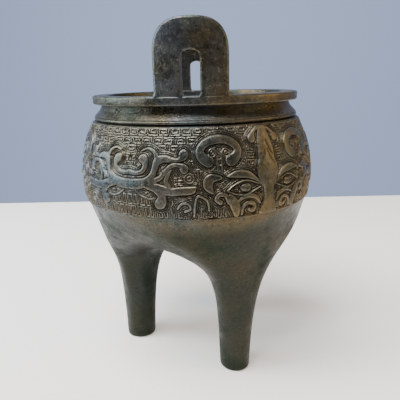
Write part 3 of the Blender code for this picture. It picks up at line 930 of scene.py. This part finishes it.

# %% [markdown]
# ## The bronze
# Old bronze is dark and a little glossy, with a skin of brown and olive oxides, green in patches, darker in
# the hollows of the carving by painted shade, and barer on its edges by wear and a painted glint. The colours
# come from noise on Object coordinates, mixed in layers, so they run on across all the pieces of the casting.
# A small class lets the maths be written plainly.

# %% Shader helpers
class Value:
    """A socket that adds Math nodes when it is used in an expression."""

    def __init__(self, tree, socket):
        self.tree, self.socket = tree, socket

    def join(self, operation, other, swapped=False):
        node = self.tree.nodes.new("ShaderNodeMath")
        node.operation = operation
        for slot, item in zip(node.inputs, (other, self) if swapped else (self, other)):
            if isinstance(item, Value):
                self.tree.links.new(item.socket, slot)
            else:
                slot.default_value = item
        return Value(self.tree, node.outputs[0])

    def __add__(self, other):
        return self.join("ADD", other)

    def __radd__(self, other):
        return self.join("ADD", other)

    def __sub__(self, other):
        return self.join("SUBTRACT", other)

    def __rsub__(self, other):
        return self.join("SUBTRACT", other, True)

    def __mul__(self, other):
        return self.join("MULTIPLY", other)

    def __rmul__(self, other):
        return self.join("MULTIPLY", other)


class Finish:
    """A material whose nodes are added one at a time."""

    def __init__(self, name):
        self.material = bpy.data.materials.new(name)
        self.material.use_nodes = True
        self.tree = self.material.node_tree
        self.shader = self.tree.nodes["Principled BSDF"]

    def node(self, kind, settings=None, inputs=None, output=0):
        """Add a node, set it, feed its sockets, and give one output back."""
        made = self.tree.nodes.new("ShaderNode" + kind)
        for key, item in (settings or {}).items():
            setattr(made, key, item)
        for key, item in (inputs or {}).items():
            if isinstance(item, Value):
                self.tree.links.new(item.socket, made.inputs[key])
            else:
                made.inputs[key].default_value = item
        return Value(self.tree, made.outputs[output])

    def feed(self, socket, value):
        """Link a value to the shader, or set a plain number on its own socket."""
        if isinstance(value, Value):
            self.tree.links.new(value.socket, self.shader.inputs[socket])
        else:
            self.shader.inputs[socket].default_value = value


print("shader helpers ready")

# %% Layers of patina and painted light
def mix_colours(finish, share, first, second):
    """One colour over another by a share."""
    inputs = {"Factor": share, 6: first, 7: second}
    return finish.node("Mix", {"data_type": "RGBA"}, inputs, 2)


def patches(finish, place, scale, low, high, detail=4.0, rough=0.55):
    """Soft-edged patches from noise: 0 below low, 1 above high."""
    inputs = {"Vector": place, "Scale": scale, "Detail": detail, "Roughness": rough}
    noise = finish.node("TexNoise", None, inputs)
    inputs = {"Value": noise, "From Min": low, "From Max": high}
    return finish.node("MapRange", {"interpolation_type": "SMOOTHSTEP"}, inputs)


def stretched(finish, place, scale):
    """The place, drawn out along one way, for scratches and runs."""
    return finish.node("Mapping", None, {"Vector": place, "Scale": scale})


OLIVE = (0.044, 0.046, 0.031, 1)
GREY_BROWN = (0.088, 0.081, 0.063, 1)
# Partly rust patina, partly a painted warm reflection on the right side
RUST_AND_WARM_REFLECTION = (0.125, 0.078, 0.024, 1)
# Partly patina, partly a painted cool reflection on the left side
SLATE_AND_COOL_REFLECTION = (0.078, 0.088, 0.115, 1)
GREEN = (0.03, 0.06, 0.034, 1)
DUST = (0.2, 0.175, 0.135, 1)
# Partly bare metal from wear, partly a painted glint on the raised lines
BARE_AND_GLINT = (0.27, 0.225, 0.16, 1)
# Dark specks in small pits, and painted shade in the carving's grooves
GROOVE_SHADE_AND_PIT = (0.012, 0.010, 0.008, 1)
# Painted shade for everything below the belt
SHADE_BELOW_BELT = (0.011, 0.014, 0.009, 1)
print("patina colours set")

# %% The bronze itself
def bronze(name, carved):
    """Aged bronze; by its attributes the carved form also darkens the grooves with painted shade, and lightens
    the raised lines with wear and a painted glint.
    """
    finish = Finish(name)
    place = finish.node("TexCoord", output=3)
    across = finish.node("SeparateXYZ", None, {"Vector": place})
    height = finish.node("SeparateXYZ", None, {"Vector": place}, 2)
    rightward = finish.node("MapRange", None, {"Value": across, "From Min": -0.04, "From Max": 0.08})
    low = finish.node("MapRange", None, {"Value": height, "From Min": 0.158, "From Max": 0.14})
    # Clouds of olive and grey-brown all over; brown to the right is partly rust patina and partly a painted
    # warm reflection, and slate to the left is partly patina and partly a painted cool reflection
    cloudy = patches(finish, place, 45.0, 0.36, 0.64)
    mottled = patches(finish, place, 190.0, 0.38, 0.64, 3.0, 0.6)
    colour = mix_colours(finish, cloudy * 0.6 + mottled * 0.4, OLIVE, GREY_BROWN)
    brown = patches(finish, place, 26.0, 0.36, 0.6) * (rightward * 0.85 + 0.15)
    colour = mix_colours(finish, brown * 0.9, colour, RUST_AND_WARM_REFLECTION)
    cool = patches(finish, place, 20.0, 0.4, 0.62) * (1.0 - rightward)
    colour = mix_colours(finish, cool * 0.8, colour, SLATE_AND_COOL_REFLECTION)
    # Green patches, most of them low down, then specks of dust and small pits
    green = patches(finish, place, 40.0, 0.48, 0.64, 6.0, 0.65) * (low * 0.5 + 0.35)
    colour = mix_colours(finish, green, colour, GREEN)
    specks = patches(finish, place, 430.0, 0.52, 0.68, 3.0, 0.75)
    colour = mix_colours(finish, specks * 0.5, colour, DUST)
    pits = patches(finish, place, 330.0, 0.52, 0.68, 4.0, 0.75)
    colour = mix_colours(finish, pits * 0.7, colour, GROOVE_SHADE_AND_PIT)
    # Upright runs on the legs, and painted shade that darkens everything below the belt
    runs = patches(finish, stretched(finish, place, (300.0, 300.0, 26.0)), 1.0, 0.55, 0.8, 3.0, 0.6)
    colour = mix_colours(finish, runs * low * 0.3, colour, DUST)
    colour = mix_colours(finish, low * 0.78, colour, SHADE_BELOW_BELT)
    rough = cloudy * 0.12 + green * 0.16 + specks * 0.1 + mottled * 0.1 + low * 0.08 + 0.24
    if carved:
        hollow = finish.node("Attribute", {"attribute_name": "hollow"}, None, 2)
        worn_and_glint = finish.node("Attribute", {"attribute_name": "worn_and_glint"}, None, 2)
        # Raised lines and edges: partly bare metal from wear, partly a painted glint
        colour = mix_colours(finish, worn_and_glint * 0.52, colour, BARE_AND_GLINT)
        # Painted shade in the grooves of the carving
        colour = mix_colours(finish, hollow * 0.6, colour, GROOVE_SHADE_AND_PIT)
        rough = rough + hollow * 0.3 - worn_and_glint * 0.04
    finish.feed("Base Color", colour)
    finish.feed("Roughness", rough)
    finish.feed("Metallic", 0.78)
    finish.feed("Specular IOR Level", 0.3)
    # Soft dents of the casting, and the grain of its skin
    uneven = finish.node("TexNoise", None, {"Vector": place, "Scale": 75.0, "Detail": 3.0, "Roughness": 0.55})
    dents = finish.node("Bump", None, {"Strength": 0.4, "Distance": 0.0018, "Height": uneven})
    grain = finish.node("TexNoise", None, {"Vector": place, "Scale": 600.0, "Detail": 4.0, "Roughness": 0.7})
    bump = finish.node("Bump", None, {"Strength": 0.55, "Distance": 0.0006, "Height": grain, "Normal": dents})
    finish.feed("Normal", bump)
    return finish.material


smooth_bronze = bronze("aged_bronze", False)
carved_bronze = bronze("carved_bronze", True)
for piece in bpy.context.scene.objects:
    if piece.type == "MESH" and piece.name.startswith(("rim_", "lobes_", "handle_")):
        piece.data.materials.append(smooth_bronze)
    if piece.type == "MESH" and piece.name.startswith("belt_"):
        piece.data.materials.append(carved_bronze)
print("bronze on all pieces")

# %% [markdown]
# ## Floor and light
# A plain pale floor and large soft lamps stand in for a studio. Dark bronze shows little but reflections, so
# the lamps are large: a cool one at the left, the key above, and a weak warm one at the right.

# %% Floor and backdrop
def stage_plane(name, size, place, lean, colour, glow):
    """A plain sheet of paper for the set, with a little light of its own so that it stays even."""
    start_clean()
    bpy.ops.mesh.primitive_plane_add(size=size, location=place, rotation=(lean, 0, 0))
    sheet = bpy.context.object
    sheet.name = name
    paper = Finish(name + "_paper")
    paper.feed("Base Color", colour)
    paper.feed("Roughness", 0.9)
    paper.feed("Emission Color", colour)
    paper.feed("Emission Strength", glow)
    sheet.data.materials.append(paper.material)
    print(name, "is", size, "m square")


stage_plane("floor", 1.02, (0, 0, 0), 0, (0.92, 0.86, 0.79, 1), 0.42)
stage_plane("backdrop", 8, (0, 2.2, 0), math.radians(90), (0.29, 0.355, 0.52, 1), 0.78)

# %% Lamps and world
AIM = Vector((0, 0, 0.18))


def lamp(name, place, size, watts, colour):
    """A soft square lamp aimed at the bowl."""
    light = bpy.data.lights.new(name, "AREA")
    light.shape = "SQUARE"
    light.size = size
    light.energy = watts
    light.color = colour
    holder = bpy.data.objects.new(name, light)
    bpy.context.scene.collection.objects.link(holder)
    holder.location = place
    holder.rotation_euler = (AIM - Vector(place)).to_track_quat("-Z", "Y").to_euler()


lamp("cool_left", (-1.3, -0.1, 0.62), 0.8, 30, (0.76, 0.89, 1.0))
lamp("key_above", (-0.4, -0.35, 1.45), 0.9, 44, (0.96, 0.98, 1.0))
lamp("fill_right", (1.3, -0.3, 0.6), 0.7, 9, (1.0, 0.76, 0.42))
world = bpy.data.worlds.new("studio")
world.use_nodes = True
sky = world.node_tree.nodes["Background"]
sky.inputs["Color"].default_value = (0.6, 0.66, 0.76, 1)
sky.inputs["Strength"].default_value = 0.26
bpy.context.scene.world = world
print("lit")
